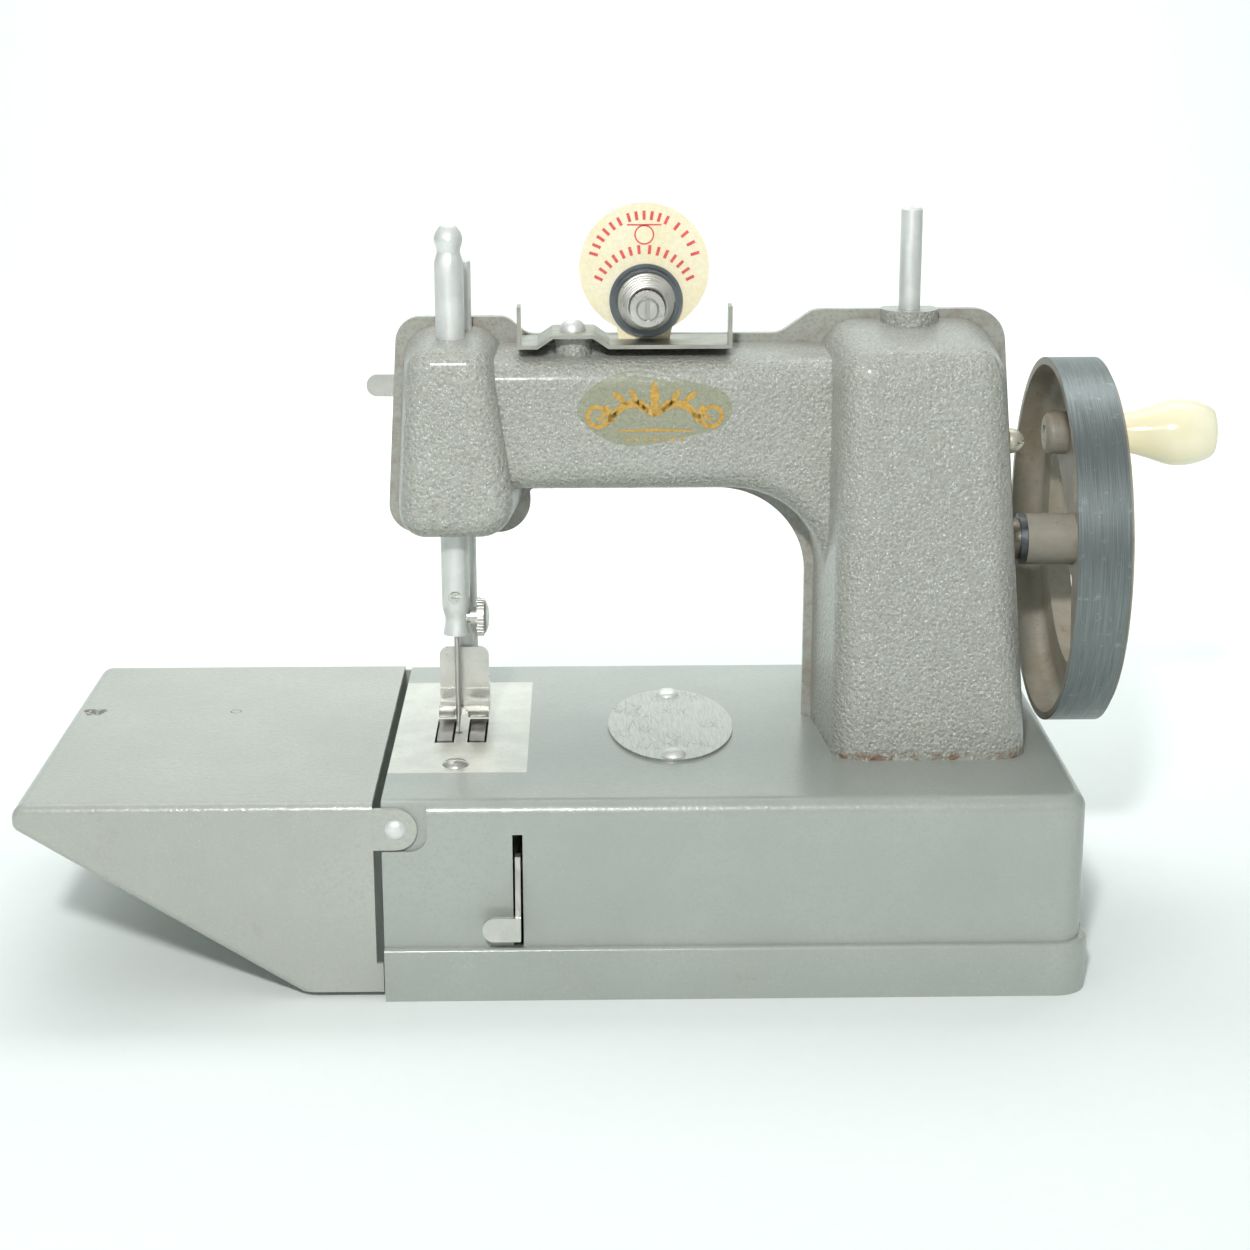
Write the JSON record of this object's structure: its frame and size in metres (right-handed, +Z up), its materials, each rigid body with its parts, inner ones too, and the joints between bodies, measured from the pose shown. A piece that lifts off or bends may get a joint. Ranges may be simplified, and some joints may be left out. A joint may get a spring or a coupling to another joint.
{
  "type": "toy sewing machine",
  "caption": "Toy hand-crank sewing machine: pressed-steel base with folding table leaf, hollow C-shaped arm, needle and presser bars, thread tensioner, hand wheel with crank handle",
  "frame": {"origin": "centre of the object's bounding box in X and Y, on the surface that it stands on", "axes": "+X from the table leaf towards the hand wheel, +Y away from the operator, +Z up"},
  "size_m": [0.2854, 0.114, 0.1752],
  "materials": {
    "enamel": "hammered enamel",
    "plate": "ground and worn",
    "badge": "brushed",
    "rivets": "satin",
    "fasteners": "plated",
    "frame_steel": "bare sheet",
    "shafts": "turned",
    "bars": "satin",
    "nickel": "worn nickel",
    "guide": "dull with rust specks",
    "washers": "aged",
    "brass": "turned",
    "wheel": "painted, bare turned rim",
    "ivory": "gloss",
    "dial": "gloss enamel"
  },
  "bodies": {
    "base": {"back_shell": "enamel", "badge_plate": "badge", "badge_rivets": "rivets", "base_shell": "enamel", "base_tray": "enamel", "feed_guide": "frame_steel", "foot_screws": "fasteners", "frame_screws": "fasteners", "front_shell": "enamel", "gear_frame": "frame_steel", "guide_rivet": "rivets", "idler_stud": "fasteners", "leaf_rivets": "rivets", "lifter_pivot": "fasteners", "looper_bearing": "frame_steel", "needle_plate": "plate", "needle_plate_screw": "fasteners", "presser_spring": "nickel", "regulator_bracket": "frame_steel", "regulator_pivot": "fasteners", "rocker_pivot": "fasteners", "shaft_bush": "brass", "shaft_washer": "washers", "shell_screws": "fasteners", "side_screw": "fasteners", "spool_pin": "bars", "tension_plate": "dial", "tension_spring": "nickel", "tension_stud": "nickel", "tension_washers": "washers", "thread_guide_strip": "guide", "tray_posts": "frame_steel", "tray_screws": "fasteners"},
    "wheel": {"hand_wheel": "wheel", "main_shaft": "shafts", "crank_disc": "shafts", "drive_gear": "brass", "handle_pin": "shafts"},
    "handle": {"crank_handle": "ivory"},
    "idler": {"idler_gear": "brass"},
    "looper_drive": {"looper_shaft": "shafts", "looper_gear": "brass", "looper": "shafts", "feed_cam": "shafts"},
    "needle_slide": {"needle_bar": "bars", "needle": "nickel", "needle_set_screw": "fasteners", "needle_collar": "nickel"},
    "needle_thumb_screw": {"thumb_screw": "nickel"},
    "rocker": {"needle_rocker": "frame_steel"},
    "lifter": {"lifter_lever": "nickel"},
    "presser": {"presser_bar": "bars", "presser_collar": "nickel", "presser_foot": "nickel"},
    "leaf": {"table_leaf": "enamel"},
    "regulator": {"regulator_lever": "nickel"},
    "feed": {"feed_dogs": "nickel", "feed_bar": "frame_steel"},
    "tension_adjuster": {"tension_nut": "nickel"}
  },
  "joints": [
    {"name": "handwheel_spin", "type": "hinge", "parent": "base", "child": "wheel", "pos_m": [0.0983, 0.008, 0.0924], "axis": [1, 0, 0], "continuous": true},
    {"name": "handle_spin", "type": "hinge", "parent": "wheel", "child": "handle", "pos_m": [0.1273, 0.02314, 0.11571], "axis": [1, 0, 0], "continuous": true},
    {"name": "idler_spin", "type": "hinge", "parent": "base", "child": "idler", "pos_m": [0.0683, 0.002, 0.0612], "axis": [1, 0, 0], "continuous": true},
    {"name": "looper_spin", "type": "hinge", "parent": "base", "child": "looper_drive", "pos_m": [0.0683, -0.004, 0.03], "axis": [1, 0, 0], "continuous": true},
    {"name": "needle_travel", "type": "slide", "parent": "base", "child": "needle_slide", "axis": [0, 0, 1], "range_m": [-0.012, 0.006]},
    {"name": "thumb_screw_turn", "type": "hinge", "parent": "needle_slide", "child": "needle_thumb_screw", "pos_m": [-0.0377, -0.004, 0.077], "axis": [1, 0, 0], "continuous": true},
    {"name": "rocker_swing", "type": "hinge", "parent": "base", "child": "rocker", "pos_m": [0.0103, 0, 0.124], "axis": [0, 1, 0], "range_deg": [-12.7, 6.5]},
    {"name": "presser_lift", "type": "hinge", "parent": "base", "child": "lifter", "pos_m": [-0.0509, 0.01, 0.1309], "axis": [0, 1, 0], "range_deg": [0, 20.1]},
    {"name": "presser_travel", "type": "slide", "parent": "base", "child": "presser", "axis": [0, 0, 1], "range_m": [-0.003, 0]},
    {"name": "leaf_fold", "type": "hinge", "parent": "base", "child": "leaf", "pos_m": [-0.0565, 0, 0.0412], "axis": [0, 1, 0], "range_deg": [0, 70]},
    {"name": "stitch_regulator", "type": "hinge", "parent": "base", "child": "regulator", "pos_m": [-0.0291, -0.012, 0.025], "axis": [-1, 0, 0], "range_deg": [-3, 5.5]},
    {"name": "feed_travel", "type": "slide", "parent": "base", "child": "feed", "axis": [0, 1, 0], "range_m": [-0.0015, 0.0015]},
    {"name": "tension_turn", "type": "hinge", "parent": "base", "child": "tension_adjuster", "pos_m": [0.0013, -0.012, 0.1525], "axis": [0, 1, 0], "continuous": true}
  ],
  "couplings": [
    {"joint": "idler_spin", "follows": "handwheel_spin", "ratio": -1},
    {"joint": "looper_spin", "follows": "handwheel_spin", "ratio": 1},
    {"joint": "rocker_swing", "follows": "needle_travel", "rad_per_m": 18.248},
    {"joint": "presser_lift", "follows": "presser_travel", "rad_per_m": -116.28}
  ]
}
